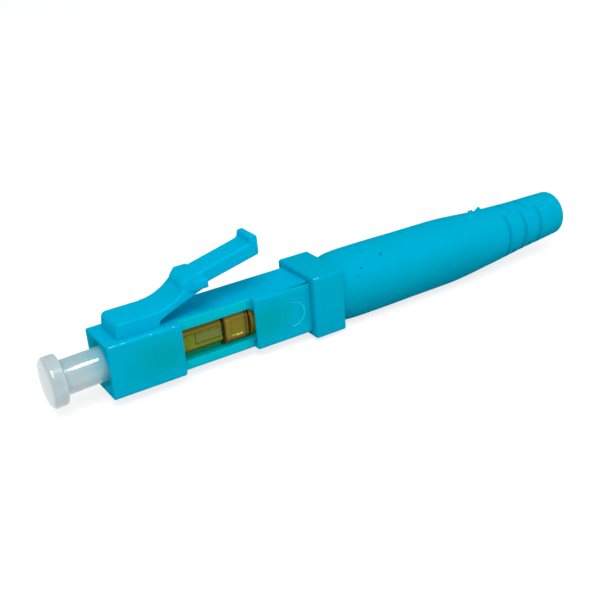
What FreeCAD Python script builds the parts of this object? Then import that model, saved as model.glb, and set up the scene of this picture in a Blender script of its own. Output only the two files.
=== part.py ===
"""LC fibre connector, field-fitted kind: plug, sprung ferrule set with a splice, boot and dust cap.

Millimetres. The origin is the centre of the plug's front face, on the ferrule's axis.
+X runs back to the boot, +Z is the latch side, and the splice window is on the -Y side.
"""
import FreeCAD, Part
import math
import os

import Sketcher

SIZES = [
    # name, millimetres or degrees, what it is
    ("overcut", 1.0, "how far a cut runs past the face it opens"),
    ("overlap", 0.5, "how far a pad starts inside the solid it joins"),
    ("fit_play", 0.005, "clearance of a bonded or clamped fit, each side"),
    ("plug_width", 4.5, "plug block, across"),
    ("plug_height", 4.58, "plug block, up"),
    ("plug_length", 17.93, "front face to the shoulder in front of the boot"),
    ("plug_edge", 0.28, "rounding of the plug's long edges"),
    ("spigot_side", 4.0, "square spigot that carries the boot"),
    ("spigot_length", 2.67, "length of that spigot"),
    ("recess_start", 6.2, "front end of the side recess"),
    ("recess_end", 12.61, "rear end of the side recess"),
    ("recess_depth", 0.7, "depth of the side recess"),
    ("step_edge", 0.2, "rounding of the recess's end corners"),
    ("face_edge", 0.06, "chamfer of the front face's outline"),
    ("window_low", -1.38, "sill of the splice window"),
    ("window_high", 1.34, "head of the splice window"),
    ("window_end", 13.6, "rear end of the window's chamber"),
    ("window_corner", 0.15, "slant of the window's upper rear corner"),
    ("chamber_wall", 0.2, "wall left outside the chamber"),
    ("window_depth", 1.35, "depth of the window and its chamber"),
    ("cavity_radius", 1.95, "round cavity round the ferrule"),
    ("cavity_depth", 3.6, "depth of that cavity"),
    ("cavity_rim", 0.1, "chamfer at its mouth"),
    ("throat_radius", 1.28, "hole in the wall behind the cavity"),
    ("throat_end", 4.4, "rear face of that wall, the ferrule set's stop"),
    ("bore_radius", 1.72, "main bore behind the wall"),
    ("mark_place", 16.2, "ejector pin's mark on the plug's side, its middle"),
    ("mark_height", -0.07, "height of that middle"),
    ("mark_radius", 1.06, "radius of the mark"),
    ("mark_depth", 0.02, "depth of the mark"),
    ("latch_width", 3.22, "latch at its foot"),
    ("latch_front", 0.95, "front of the latch's foot"),
    ("latch_rake", 0.3, "how far its front face leans back"),
    ("latch_height", 1.24, "height of the foot above the plug"),
    ("latch_sink", 0.12, "how far the foot starts below the plug's top"),
    ("foot_round", 0.45, "rounding of the foot's front top edge"),
    ("foot_edge", 0.16, "rounding of the foot's side edges"),
    ("ridge_rise", 0.04, "rise of the foot's top towards the root"),
    ("ridge_length", 0.58, "run over which it rises"),
    ("latch_root", 4.78, "plane in which the arm leaves the foot"),
    ("latch_crotch", 0.33, "height of the slot under the root"),
    ("crotch_corner", 0.14, "slant of the slot's blind corner"),
    ("latch_gap", 0.01, "gap at the root plane"),
    ("blade_edge", 0.14, "rounding of the blade's long edges"),
    ("bend_place", 1.136, "where the blade's top turns up, behind the root"),
    ("bend_height", 0.2, "height of that turn above the foot"),
    ("bend_round", 3.9, "radius of the turn"),
    ("blade_thick", 0.86, "thickness of the blade's rear, under the lugs' top"),
    ("arm_width", 2.26, "latch arm behind the lugs"),
    ("arm_slope", 13.4, "slope of the arm's top, degrees"),
    ("arm_base", 3.47, "height of the arm's top line, carried on to the front face"),
    ("arm_front", 7.0, "front of the arm, inside the blade"),
    ("arm_front_low", 3.75, "underside of the arm at its front"),
    ("crown_place", 7.3, "front of the arm's crown, between the lugs"),
    ("crown_round", 0.3, "rounding of the crown"),
    ("arm_edge", 0.14, "rounding of the arm's long edges"),
    ("lug_reach", 0.92, "what the two lugs add to the latch's width"),
    ("lug_front", 8.05, "front of the lugs"),
    ("lug_back", 9.0, "rear of the lugs"),
    ("lug_low", 4.45, "underside of the lugs"),
    ("lug_top", 5.27, "top of the lugs"),
    ("lug_edge", 0.2, "rounding of the lugs"),
    ("lug_flare", 0.8, "length over which the blade widens to the lugs"),
    ("tip_end", 14.1, "rear end of the arm"),
    ("tip_low", 5.55, "underside of the arm at its tip"),
    ("lip_top", 7.26, "top of the thumb lip"),
    ("lip_front", 13.38, "front of the thumb lip"),
    ("lip_draft", 0.04, "lean of the lip's faces"),
    ("lip_round", 0.24, "rounding of the lip's top"),
    ("lip_root", 0.32, "fillet in front of the lip"),
    ("collar_start", 17.98, "front face of the boot's square collar"),
    ("collar_end", 20.98, "rear face of the collar"),
    ("collar_width", 5.69, "collar, across"),
    ("collar_height", 5.56, "collar, up"),
    ("collar_edge", 0.35, "rounding of the collar's edges"),
    ("socket_side", 4.06, "square socket in the collar"),
    ("socket_end", 21.05, "bottom of that socket"),
    ("socket_play", 0.03, "gap between the socket's bottom and the retainer"),
    ("boot_neck", 2.9, "boot radius behind the collar"),
    ("neck_end_place", 21.08, "rear end of that neck"),
    ("shoulder_front", 21.68, "front end of the shoulder's rounding"),
    ("shoulder_place", 22.5, "where the shoulder is at its widest"),
    ("shoulder_round", 0.1, "how much the rounding takes off at its front"),
    ("boot_shoulder", 3.12, "boot radius at the shoulder"),
    ("shoulder_end", 25.98, "where it starts to narrow"),
    ("boot_middle", 3.07, "boot radius along the middle"),
    ("middle_end", 33.0, "rear end of the middle"),
    ("taper_start", 35.6, "where the quick taper starts"),
    ("taper_radius", 2.94, "boot radius there"),
    ("waist_place", 38.0, "middle of the taper, where the tail starts to lift"),
    ("boot_waist", 2.73, "boot radius at the waist"),
    ("tail_start", 43.0, "where the radius among the slots is measured"),
    ("boot_tail", 2.37, "boot radius among the slots"),
    ("boot_length", 47.75, "front face of the plug to the boot's end"),
    ("boot_end", 2.14, "boot radius at its end"),
    ("boot_round", 0.3, "rounding of the boot's end"),
    ("tail_place", 42.35, "middle of the slotted tail"),
    ("tail_lift", 0.177, "height of the tail's axis above the plug's axis there"),
    ("tail_tilt", 2.32, "slope of the tail's axis, degrees"),
    ("post_room", 1.62, "radius of the boot's hole for the post"),
    ("post_room_end", 28.7, "rear end of that hole"),
    ("post_room_taper", 1.0, "length of the cone at that end"),
    ("cable_radius", 0.55, "radius of the boot's cable entry"),
    ("slot_pitch", 2.1, "spacing of the strain relief slots"),
    ("slot_width", 0.5, "width of a side slot"),
    ("slot_thin", 0.4, "width of a top or bottom slot"),
    ("slot_depth", 0.35, "depth of a slot"),
    ("slot_taper", 0.075, "fall of the tail's radius per millimetre"),
    ("slot_reach", 0.8, "how far a slot's cut runs outside the tail"),
    ("slot_stagger", 0.95, "how far a top slot lies behind a side slot"),
    ("side_slot_arc", 140.0, "arc of a side slot, degrees"),
    ("top_slot_arc", 84.0, "arc of a top slot, degrees"),
    ("cap_front", -4.22, "front face of the dust cap"),
    ("cap_flange_end", -3.33, "rear face of its flange"),
    ("cap_flange_radius", 2.09, "flange radius"),
    ("cap_stem_radius", 1.39, "stem radius"),
    ("cap_end", 2.55, "rear end of the stem"),
    ("cap_round", 0.3, "rounding of the flange's front"),
    ("cap_break", 0.12, "chamfer of its rear edge"),
    ("cap_mouth", 0.2, "chamfer of the bore's mouth"),
    ("cap_grip", 0.015, "gap between the cap's bore and the ferrule"),
    ("cap_bore_front", -2.3, "blind end of that bore"),
    ("ferrule_front", -1.9, "tip of the ferrule"),
    ("ferrule_end", 4.4, "rear end of the ferrule"),
    ("ferrule_radius", 0.625, "ferrule radius"),
    ("ferrule_chamfer", 0.12, "chamfer of its tip"),
    ("fibre_radius", 0.0625, "glass fibre radius"),
    ("fibre_room", 0.065, "bore of the ferrule"),
    ("fibre_end", 10.0, "cleaved end of the fibre stub, inside the splice"),
    ("nose_front", 2.6, "front face of the ferrule holder"),
    ("nose_radius", 1.2, "nose of the holder"),
    ("nose_chamfer", 0.1, "chamfer of its edge"),
    ("fibre_hole", 0.15, "hole for the fibre through the holder"),
    ("stop_play", 0.1, "gap between the holder's flange and the bore"),
    ("stop_end", 5.3, "rear face of that flange"),
    ("barrel_radius", 1.37, "barrel of the holder"),
    ("barrel_flat", 1.18, "flat on the barrel, from the axis"),
    ("flat_front", 5.9, "front end of the flats"),
    ("barrel_end", 10.05, "rear end of the barrel"),
    ("neck_radius", 1.0, "neck that carries the cam"),
    ("neck_end", 12.95, "rear end of the neck"),
    ("tail_radius", 0.8, "tail of the holder"),
    ("tail_end", 17.9, "rear end of that tail"),
    ("tail_bore", 0.5, "bore of that tail"),
    ("splice_front", 7.66, "front end of the splice slot"),
    ("splice_back", 12.3, "rear end of the splice slot"),
    ("splice_half", 0.39, "half the height of the splice slot"),
    ("splice_far", 0.6, "far wall of the splice slot"),
    ("splice_play", 0.01, "play round the splice halves"),
    ("plank_gap", 0.05, "gap between the halves and the cam's front"),
    ("keel_play", 0.05, "play at the ends of the keel's slot"),
    ("keel_side_play", 0.02, "play at each side of the keel"),
    ("keel_root", 0.2, "where the keel starts, inside its plank"),
    ("plank_near", 1.12, "near face of the halves, in the barrel"),
    ("plank_inner", 0.85, "near face of the halves, under the cam"),
    ("groove_half", 0.11, "half the width of the fibre groove"),
    ("keel_front", 10.5, "front end of the upper half's keel"),
    ("keel_back", 12.1, "rear end of that keel"),
    ("keel_half", 0.18, "half the keel's thickness"),
    ("keel_top", 0.98, "top of the keel"),
    ("cam_front", 10.15, "front face of the cam"),
    ("cam_end", 12.3, "rear face of the cam"),
    ("cam_play", 0.07, "gap between the cam's rims and the bore"),
    ("cam_flat", 1.45, "flats of the cam's rims, from the axis"),
    ("cam_panel", 1.38, "panel between the rims, from the axis"),
    ("cam_panel_front", 10.76, "front end of the panel"),
    ("cam_panel_end", 12.02, "rear end of the panel"),
    ("cam_chamfer", 0.15, "chamfer of the cam's front edge"),
    ("cam_bore", 1.03, "bore of the cam"),
    ("cam_relief", 1.16, "relief in that bore, over the keel"),
    ("relief_arc", 70.0, "arc of the relief, degrees"),
    ("relief_play", 0.1, "room of the relief past the keel's ends"),
    ("ring_front", 12.42, "front face of the cam's retaining ring"),
    ("ring_play", 0.07, "gap between the ring and the bore"),
    ("spring_front", 12.97, "front end of the spring"),
    ("spring_end", 16.88, "rear end of the spring"),
    ("spring_radius", 1.25, "mean radius of the spring"),
    ("wire_radius", 0.16, "radius of its wire"),
    ("spring_turns", 4.0, "open turns between its closed ends"),
    ("coil_gap", 0.03, "gap beside a closed turn"),
    ("retainer_front", 16.9, "front face of the spring retainer"),
    ("retainer_play", 0.01, "gap between the retainer and the bore"),
    ("retainer_flange", 1.95, "its flange, against the spigot"),
    ("retainer_bore", 1.1, "its bore"),
    ("post_radius", 1.4, "post inside the boot"),
    ("post_end", 27.5, "rear end of the post"),
    ("barb_radius", 1.6, "barb on the post"),
    ("barb_start", 2.2, "front face of the barb, before the post's end"),
    ("retainer_chamfer", 0.15, "chamfer of the retainer's front edge"),
    ("tube_front", 12.35, "front end of the lead-in tube"),
    ("tube_end", 17.6, "rear end of the lead-in tube"),
    ("tube_radius", 0.49, "its radius"),
    ("tube_bore", 0.14, "its bore"),
    ("tube_funnel", 0.42, "mouth of its funnel"),
    ("funnel_length", 1.2, "length of its funnel"),
    ("crimp_front", 17.0, "front end of the crimp tube"),
    ("crimp_end", 22.5, "rear end of the crimp tube"),
    ("crimp_inner", 0.82, "its bore"),
    ("crimp_outer", 1.0, "its radius"),
]

doc = FreeCAD.newDocument("lc_fibre_connector")
sheet = doc.addObject("Spreadsheet::Sheet", "Sizes")
for row, (name, value, meaning) in enumerate(SIZES, start=1):
    sheet.set("A%d" % row, name)
    sheet.set("B%d" % row, str(value))
    sheet.set("C%d" % row, meaning)
    sheet.setAlias("B%d" % row, name)
doc.recompute()
size = {name: float(sheet.get("B%d" % row)) for row, (name, value, meaning) in enumerate(SIZES, start=1)}


def make_body(name):
    body = doc.addObject("PartDesign::Body", name)
    body.Label = name
    return body


def origin_plane(body, role):
    for feature in body.Origin.OriginFeatures:
        if feature.Role == role:
            return feature
    raise ValueError("no plane " + role)


def make_sketch(body, name, role, place=None):
    """A sketch on one of the body's own planes. place holds expressions for its attachment offset."""
    sketch = body.newObject("Sketcher::SketchObject", name)
    sketch.AttachmentSupport = [(origin_plane(body, role), "")]
    sketch.MapMode = "FlatFace"
    for path, expression in (place or {}).items():
        sketch.setExpression(".AttachmentOffset." + path, expression)
    return sketch


def hold(sketch, kind, geometry, point, expression, start):
    """Keep one point of the sketch at a distance from its origin that comes from the sizes."""
    index = sketch.addConstraint(Sketcher.Constraint(kind, -1, 1, geometry, point, start))
    sketch.setExpression("Constraints[%d]" % index, expression)


def draw_outline(sketch, corners):
    """A closed outline. Each corner is a pair of expressions: along and up from the sketch's origin."""
    count = len(corners)
    first = sketch.GeometryCount
    ring = []
    for corner in range(count):
        turn = 2 * math.pi * corner / count
        ring.append(FreeCAD.Vector(10 * math.cos(turn), 10 * math.sin(turn), 0))
    for corner in range(count):
        sketch.addGeometry(Part.LineSegment(ring[corner], ring[(corner + 1) % count]), False)
    for corner in range(count):
        follower = first + (corner + 1) % count
        sketch.addConstraint(Sketcher.Constraint("Coincident", first + corner, 2, follower, 1))
    for corner, (along, up) in enumerate(corners):
        hold(sketch, "DistanceX", first + corner, 1, along, ring[corner].x)
        hold(sketch, "DistanceY", first + corner, 1, up, ring[corner].y)


def draw_circle(sketch, along, up, radius):
    geometry = sketch.addGeometry(Part.Circle(FreeCAD.Vector(1, 1, 0), FreeCAD.Vector(0, 0, 1), 1), False)
    hold(sketch, "DistanceX", geometry, 3, along, 1)
    hold(sketch, "DistanceY", geometry, 3, up, 1)
    index = sketch.addConstraint(Sketcher.Constraint("Radius", geometry, 1))
    sketch.setExpression("Constraints[%d]" % index, radius)


def box_corners(left, right, low, high):
    return [(left, low), (right, low), (right, high), (left, high)]


def add_feature(body, kind, name, sketch):
    feature = body.newObject("PartDesign::" + kind, name)
    feature.Profile = (sketch, [""])
    return feature


def pad(body, name, sketch, length, midplane=False):
    feature = add_feature(body, "Pad", name, sketch)
    feature.setExpression("Length", length)
    feature.Midplane = midplane
    return feature


def pocket(body, name, sketch, length, midplane=False):
    feature = add_feature(body, "Pocket", name, sketch)
    feature.setExpression("Length", length)
    feature.Midplane = midplane
    return feature


def revolve(body, kind, name, sketch, arc=None):
    """A full turn about the sketch's own level axis, or an arc centred on its plane."""
    feature = add_feature(body, kind, name, sketch)
    feature.ReferenceAxis = (sketch, ["H_Axis"])
    feature.Angle = 360
    if arc:
        feature.Midplane = True
        feature.setExpression("Angle", arc)
    return feature


def turned(name, corners):
    """A body turned about the ferrule's axis. Each corner is a place along it and a radius."""
    body = make_body(name)
    sketch = make_sketch(body, name + "_outline", "XY_Plane")
    draw_outline(sketch, corners)
    revolve(body, "Revolution", name + "_turned", sketch)
    return body


def bored(body, name, corners):
    sketch = make_sketch(body, name + "_outline", "XY_Plane")
    draw_outline(sketch, corners)
    return revolve(body, "Groove", name, sketch)


def find_edges(feature, test):
    """Names of the feature's edges whose ends pass the test."""
    names = []
    for index, edge in enumerate(feature.Shape.Edges, start=1):
        ends = [vertex.Point for vertex in edge.Vertexes]
        if len(ends) == 2 and test(ends[0], ends[1]):
            names.append("Edge%d" % index)
    if not names:
        raise ValueError("no edges to round on " + feature.Name)
    return names


def near(one, other):
    return abs(one - other) < 0.02


def runs_along(first, second, axis):
    """True where the edge between the two points runs along one axis."""
    step = second - first
    parts = {"x": abs(step.x), "y": abs(step.y), "z": abs(step.z)}
    return parts[axis] > 0.05 and sum(parts.values()) - parts[axis] < 0.02


def soften(body, kind, name, feature, test, size_name):
    """Round or chamfer the edges that pass the test."""
    doc.recompute()
    dressed = body.newObject("PartDesign::" + kind, name)
    dressed.Base = (feature, find_edges(feature, test))
    dressed.setExpression("Radius" if kind == "Fillet" else "Size", size_name)
    doc.recompute()
    body.Tip = dressed
    return dressed


half_width = size["plug_width"] / 2
half_height = size["plug_height"] / 2

# ---------------------------------------------------------------- plug housing

housing = make_body("plug_housing")
section = make_sketch(housing, "plug_section", "YZ_Plane")
draw_outline(section, box_corners("-Sizes.plug_width / 2", "Sizes.plug_width / 2",
                                  "-Sizes.plug_height / 2", "Sizes.plug_height / 2"))
block = pad(housing, "plug_block", section, "Sizes.plug_length")

recess_sketch = make_sketch(housing, "recess_outline", "XZ_Plane", {"Base.z": "Sizes.plug_width / 2"})
draw_outline(recess_sketch, box_corners("Sizes.recess_start", "Sizes.recess_end",
                                        "-Sizes.plug_height / 2 - Sizes.overcut",
                                        "Sizes.plug_height / 2 + Sizes.overcut"))
recess = pocket(housing, "side_recess", recess_sketch, "Sizes.recess_depth")


def long_outer_edge(first, second):
    return runs_along(first, second, "x") and near(abs(first.z), half_height)


def recess_end_edge(first, second):
    outer = near(first.x, size["recess_start"]) or near(first.x, size["recess_end"])
    return runs_along(first, second, "z") and near(first.y, -half_width) and outer


def front_outline(first, second):
    return near(first.x, 0) and near(second.x, 0)


steps = soften(housing, "Fillet", "recess_ends", recess, recess_end_edge, "Sizes.step_edge")
rounded = soften(housing, "Fillet", "long_edges", steps, long_outer_edge, "Sizes.plug_edge")
soften(housing, "Chamfer", "face_outline", rounded, front_outline, "Sizes.face_edge")

spigot_sketch = make_sketch(housing, "spigot_section", "YZ_Plane",
                            {"Base.z": "Sizes.plug_length - Sizes.overlap"})
draw_outline(spigot_sketch, box_corners("-Sizes.spigot_side / 2", "Sizes.spigot_side / 2",
                                        "-Sizes.spigot_side / 2", "Sizes.spigot_side / 2"))
pad(housing, "spigot", spigot_sketch, "Sizes.spigot_length + Sizes.overlap")

bored(housing, "plug_bore", [
    ("-1 * Sizes.cavity_rim", "0"),
    ("-1 * Sizes.cavity_rim", "Sizes.cavity_radius + 2 * Sizes.cavity_rim"),
    ("Sizes.cavity_rim", "Sizes.cavity_radius"),
    ("Sizes.cavity_depth", "Sizes.cavity_radius"),
    ("Sizes.cavity_depth", "Sizes.throat_radius"),
    ("Sizes.throat_end", "Sizes.throat_radius"),
    ("Sizes.throat_end", "Sizes.bore_radius"),
    ("Sizes.plug_length + Sizes.spigot_length + Sizes.overcut", "Sizes.bore_radius"),
    ("Sizes.plug_length + Sizes.spigot_length + Sizes.overcut", "0"),
])

window_sketch = make_sketch(housing, "window_outline", "XZ_Plane",
                            {"Base.z": "Sizes.plug_width / 2 - Sizes.chamber_wall"})
draw_outline(window_sketch, [
    ("Sizes.recess_start", "Sizes.window_low"),
    ("Sizes.window_end", "Sizes.window_low"),
    ("Sizes.window_end", "Sizes.window_high - Sizes.window_corner"),
    ("Sizes.recess_end", "Sizes.window_high - Sizes.window_corner"),
    ("Sizes.recess_end - Sizes.window_corner", "Sizes.window_high"),
    ("Sizes.recess_start", "Sizes.window_high"),
])
window = pocket(housing, "splice_window", window_sketch, "Sizes.window_depth")

mark_sketch = make_sketch(housing, "mark_outline", "XZ_Plane", {"Base.z": "Sizes.plug_width / 2"})
draw_circle(mark_sketch, "Sizes.mark_place", "Sizes.mark_height", "Sizes.mark_radius")
pocket(housing, "ejector_mark", mark_sketch, "Sizes.mark_depth")

foot_sketch = make_sketch(housing, "latch_foot_outline", "XZ_Plane")
draw_outline(foot_sketch, [
    ("Sizes.latch_front", "Sizes.plug_height / 2 - Sizes.latch_sink"),
    ("Sizes.latch_root - Sizes.crotch_corner / 2", "Sizes.plug_height / 2 - Sizes.latch_sink"),
    ("Sizes.latch_root - Sizes.crotch_corner / 2",
     "Sizes.plug_height / 2 + Sizes.latch_crotch - Sizes.crotch_corner"),
    ("Sizes.latch_root", "Sizes.plug_height / 2 + Sizes.latch_crotch"),
    ("Sizes.latch_root", "Sizes.plug_height / 2 + Sizes.latch_height + Sizes.ridge_rise"),
    ("Sizes.latch_root - Sizes.ridge_length", "Sizes.plug_height / 2 + Sizes.latch_height"),
    ("Sizes.latch_front + Sizes.latch_rake", "Sizes.plug_height / 2 + Sizes.latch_height"),
])
foot = pad(housing, "latch_foot", foot_sketch, "Sizes.latch_width", midplane=True)
foot_top = half_height + size["latch_height"]


def foot_front_edge(first, second):
    front_top = size["latch_front"] + size["latch_rake"]
    return runs_along(first, second, "y") and near(first.z, foot_top) and near(first.x, front_top)


def foot_side_edge(first, second):
    half = size["latch_width"] / 2
    outside = near(abs(first.y), half) and near(abs(second.y), half)
    above = max(first.z, second.z) > foot_top - size["foot_round"] - 0.1
    ahead = min(first.x, second.x) < size["latch_root"] - 0.1
    return outside and above and ahead and min(first.z, second.z) > half_height + 0.1


front_round = soften(housing, "Fillet", "latch_foot_front", foot, foot_front_edge, "Sizes.foot_round")
soften(housing, "Fillet", "latch_foot_sides", front_round, foot_side_edge, "Sizes.foot_edge")

# ---------------------------------------------------------------- latch arm

latch = make_body("latch_arm")
root = "Sizes.latch_root + Sizes.latch_gap"
top = "Sizes.plug_height / 2"
arm_sketch = make_sketch(latch, "arm_outline", "XZ_Plane")
arm_top = "(Sizes.arm_base + {0} * tan(Sizes.arm_slope * 1 deg))"
draw_outline(arm_sketch, [
    ("Sizes.arm_front", "Sizes.arm_front_low"),
    ("Sizes.lug_back", "Sizes.lug_top - Sizes.blade_thick"),
    ("Sizes.tip_end - Sizes.lip_draft", "Sizes.tip_low"),
    ("Sizes.tip_end", "Sizes.tip_low + Sizes.lip_round"),
    ("Sizes.tip_end - Sizes.lip_draft", "Sizes.lip_top"),
    ("Sizes.lip_front", "Sizes.lip_top"),
    ("Sizes.lip_front - Sizes.lip_draft", arm_top.format("Sizes.lip_front")),
    ("Sizes.crown_place", arm_top.format("Sizes.crown_place")),
    ("Sizes.arm_front", arm_top.format("Sizes.arm_front") + " - Sizes.crown_round"),
])
arm = pad(latch, "arm", arm_sketch, "Sizes.arm_width", midplane=True)


def lip_edge(first, second):
    return runs_along(first, second, "y") and near(first.z, size["lip_top"])


def lip_root(first, second):
    return runs_along(first, second, "y") and near(first.x, size["lip_front"] - size["lip_draft"])


def crown_edge(first, second):
    return runs_along(first, second, "y") and near(first.x, size["crown_place"])


def arm_long_edge(first, second):
    half = size["arm_width"] / 2
    outside = near(abs(first.y), half) and near(abs(second.y), half)
    return outside and abs(first.x - second.x) > size["lug_back"] - size["lug_front"]


crown = soften(latch, "Fillet", "arm_crown", arm, crown_edge, "Sizes.crown_round")
long_round = soften(latch, "Fillet", "arm_edges", crown, arm_long_edge, "Sizes.arm_edge")
lip_top_round = soften(latch, "Fillet", "lip_edges", long_round, lip_edge, "Sizes.lip_round")
soften(latch, "Fillet", "lip_root", lip_top_round, lip_root, "Sizes.lip_root")

blade_sketch = make_sketch(latch, "latch_blade_outline", "XZ_Plane")
draw_outline(blade_sketch, [
    (root, top + " + Sizes.latch_crotch"),
    ("Sizes.latch_root + 2 * Sizes.crotch_corner", top + " + Sizes.latch_crotch + 1.8 * Sizes.crotch_corner"),
    ("Sizes.latch_root + 6 * Sizes.crotch_corner", top + " + Sizes.latch_crotch + 3.6 * Sizes.crotch_corner"),
    ("Sizes.lug_back", "Sizes.lug_top - Sizes.blade_thick"),
    ("Sizes.lug_back", "Sizes.lug_top - Sizes.lug_edge"),
    ("Sizes.lug_front - Sizes.lug_edge", "Sizes.lug_top"),
    ("Sizes.latch_root + Sizes.bend_place", top + " + Sizes.latch_height + Sizes.bend_height"),
    (root, top + " + Sizes.latch_height + Sizes.ridge_rise"),
])
blade = pad(latch, "latch_blade", blade_sketch, "Sizes.latch_width", midplane=True)


def blade_bend(first, second):
    return runs_along(first, second, "y") and near(first.x, size["latch_root"] + size["bend_place"])


def blade_side_edge(first, second):
    half = size["latch_width"] / 2
    outside = near(abs(first.y), half) and near(abs(second.y), half)
    high = min(first.z, second.z) > half_height + size["latch_height"]
    return outside and high and abs(first.x - second.x) > 2 * size["blade_edge"]


bend = soften(latch, "Fillet", "latch_bend", blade, blade_bend, "Sizes.bend_round")
soften(latch, "Fillet", "blade_edges", bend, blade_side_edge, "Sizes.blade_edge")
lug_sketch = make_sketch(latch, "lug_outline", "XZ_Plane")
draw_outline(lug_sketch, [
    ("Sizes.lug_front - Sizes.lug_flare", "Sizes.lug_low"),
    ("Sizes.lug_back", "Sizes.lug_low"),
    ("Sizes.lug_back", "Sizes.lug_top"),
    ("Sizes.lug_front - Sizes.lug_edge", "Sizes.lug_top"),
    ("Sizes.lug_front - Sizes.lug_flare", "Sizes.lug_top - Sizes.lug_flare / 2"),
])
lugs = pad(latch, "latch_lugs", lug_sketch, "(Sizes.latch_width + Sizes.lug_reach)", midplane=True)


def lug_outer_edge(first, second):
    half = (size["latch_width"] + size["lug_reach"]) / 2
    return near(abs(first.y), half) and near(abs(second.y), half)


soften(latch, "Fillet", "lug_edges", lugs, lug_outer_edge, "Sizes.lug_edge")

flare_sketch = make_sketch(latch, "lug_flare_outline", "XY_Plane")
for side in ("-1", "1"):
    draw_outline(flare_sketch, [
        ("Sizes.lug_front - Sizes.lug_flare - Sizes.overcut",
         side + " * Sizes.latch_width / 2"),
        ("Sizes.lug_front - Sizes.lug_flare", side + " * Sizes.latch_width / 2"),
        ("Sizes.lug_front", side + " * (Sizes.latch_width + Sizes.lug_reach) / 2"),
        ("Sizes.lug_front", side + " * ((Sizes.latch_width + Sizes.lug_reach) / 2 + Sizes.overcut)"),
        ("Sizes.lug_front - Sizes.lug_flare - Sizes.overcut",
         side + " * ((Sizes.latch_width + Sizes.lug_reach) / 2 + Sizes.overcut)"),
    ])
pocket(latch, "lug_flares", flare_sketch, "4 * Sizes.lug_top", midplane=True)

# ---------------------------------------------------------------- boot

boot = make_body("boot")
collar_sketch = make_sketch(boot, "collar_section", "YZ_Plane", {"Base.z": "Sizes.collar_start"})
draw_outline(collar_sketch, box_corners("-Sizes.collar_width / 2", "Sizes.collar_width / 2",
                                        "-Sizes.collar_height / 2", "Sizes.collar_height / 2"))
collar = pad(boot, "collar", collar_sketch, "Sizes.collar_end - Sizes.collar_start")


def collar_edges(first, second):
    along = runs_along(first, second, "x")
    return along or near(first.x, second.x) and near(first.x, size["collar_start"])


collar_round = soften(boot, "Fillet", "collar_edges", collar, collar_edges, "Sizes.collar_edge")

STATIONS = [
    # place along the axis, radius
    ("Sizes.collar_end - Sizes.overlap", "Sizes.boot_neck"),
    ("Sizes.neck_end_place", "Sizes.boot_neck"),
    ("Sizes.shoulder_front", "Sizes.boot_shoulder - Sizes.shoulder_round"),
    ("Sizes.shoulder_place", "Sizes.boot_shoulder - 0.03"),
    ("Sizes.shoulder_place + 0.9", "Sizes.boot_shoulder"),
    ("Sizes.shoulder_end", "Sizes.boot_shoulder"),
    ("Sizes.middle_end", "Sizes.boot_middle"),
    ("Sizes.taper_start", "Sizes.taper_radius"),
]
TAIL_STATIONS = [
    # place along the tail's own axis, radius
    ("Sizes.waist_place", "Sizes.boot_waist"),
    ("Sizes.tail_start", "Sizes.boot_tail"),
    ("Sizes.boot_length - Sizes.boot_round", "Sizes.boot_end"),
    ("Sizes.boot_length - 0.3 * Sizes.boot_round", "Sizes.boot_end - 0.3 * Sizes.boot_round"),
    ("Sizes.boot_length", "Sizes.boot_end - Sizes.boot_round"),
]
lift = "(Sizes.tail_lift + ({0} - Sizes.tail_place) * tan(Sizes.tail_tilt * 1 deg))"
rings = []


def add_ring(place, radius, offsets):
    """One circle of the boot's skin, on a plane across it."""
    name = "boot_section_%d" % (len(rings) + 1)
    ring_sketch = make_sketch(boot, name, "YZ_Plane")
    ring_sketch.AttachmentOffset = FreeCAD.Placement(
        FreeCAD.Vector(), FreeCAD.Rotation(FreeCAD.Vector(-1, 0, 0), 1 if offsets else 0))
    for path, expression in {"Base.z": place, **offsets}.items():
        ring_sketch.setExpression(".AttachmentOffset." + path, expression)
    draw_circle(ring_sketch, "0", "0", radius)
    rings.append(ring_sketch)


for place, radius in STATIONS:
    add_ring(place, radius, {})
for place, radius in TAIL_STATIONS:
    add_ring(place, radius, {"Base.y": lift.format(place), "Rotation.Angle": "Sizes.tail_tilt"})
doc.recompute()
skin = boot.newObject("PartDesign::AdditiveLoft", "boot_skin")
skin.Profile = (rings[0], [""])
skin.Sections = [(ring_sketch, [""]) for ring_sketch in rings[1:]]
skin.Ruled = True
doc.recompute()

tilted = {"Base.x": "Sizes.tail_place", "Base.y": "Sizes.tail_lift", "Rotation.Angle": "Sizes.tail_tilt"}
level = {"Base.x": "Sizes.tail_place", "Base.z": "Sizes.tail_lift", "Rotation.Angle": "-Sizes.tail_tilt"}


def tail_sketch(name, role, place, axis):
    """A sketch whose level axis is the tail's own axis."""
    sketch = make_sketch(boot, name, role)
    sketch.AttachmentOffset = FreeCAD.Placement(FreeCAD.Vector(), FreeCAD.Rotation(axis, 1))
    for path, expression in place.items():
        sketch.setExpression(".AttachmentOffset." + path, expression)
    return sketch


def slot_corners(place, width, side):
    """A slot's section on one side of the tail: it starts at a depth under the tapering skin."""
    behind = "(Sizes.tail_place - Sizes.tail_start + {0})".format(place)
    floor = "{0} * (Sizes.boot_tail - Sizes.slot_taper * {1} - Sizes.slot_depth)".format(side, behind)
    outside = "{0} * (Sizes.boot_tail + Sizes.slot_reach)".format(side)
    return [("{0} - {1} / 2".format(place, width), floor),
            ("{0} + {1} / 2".format(place, width), floor),
            ("{0} + {1} / 2".format(place, width), outside),
            ("{0} - {1} / 2".format(place, width), outside)]


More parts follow.
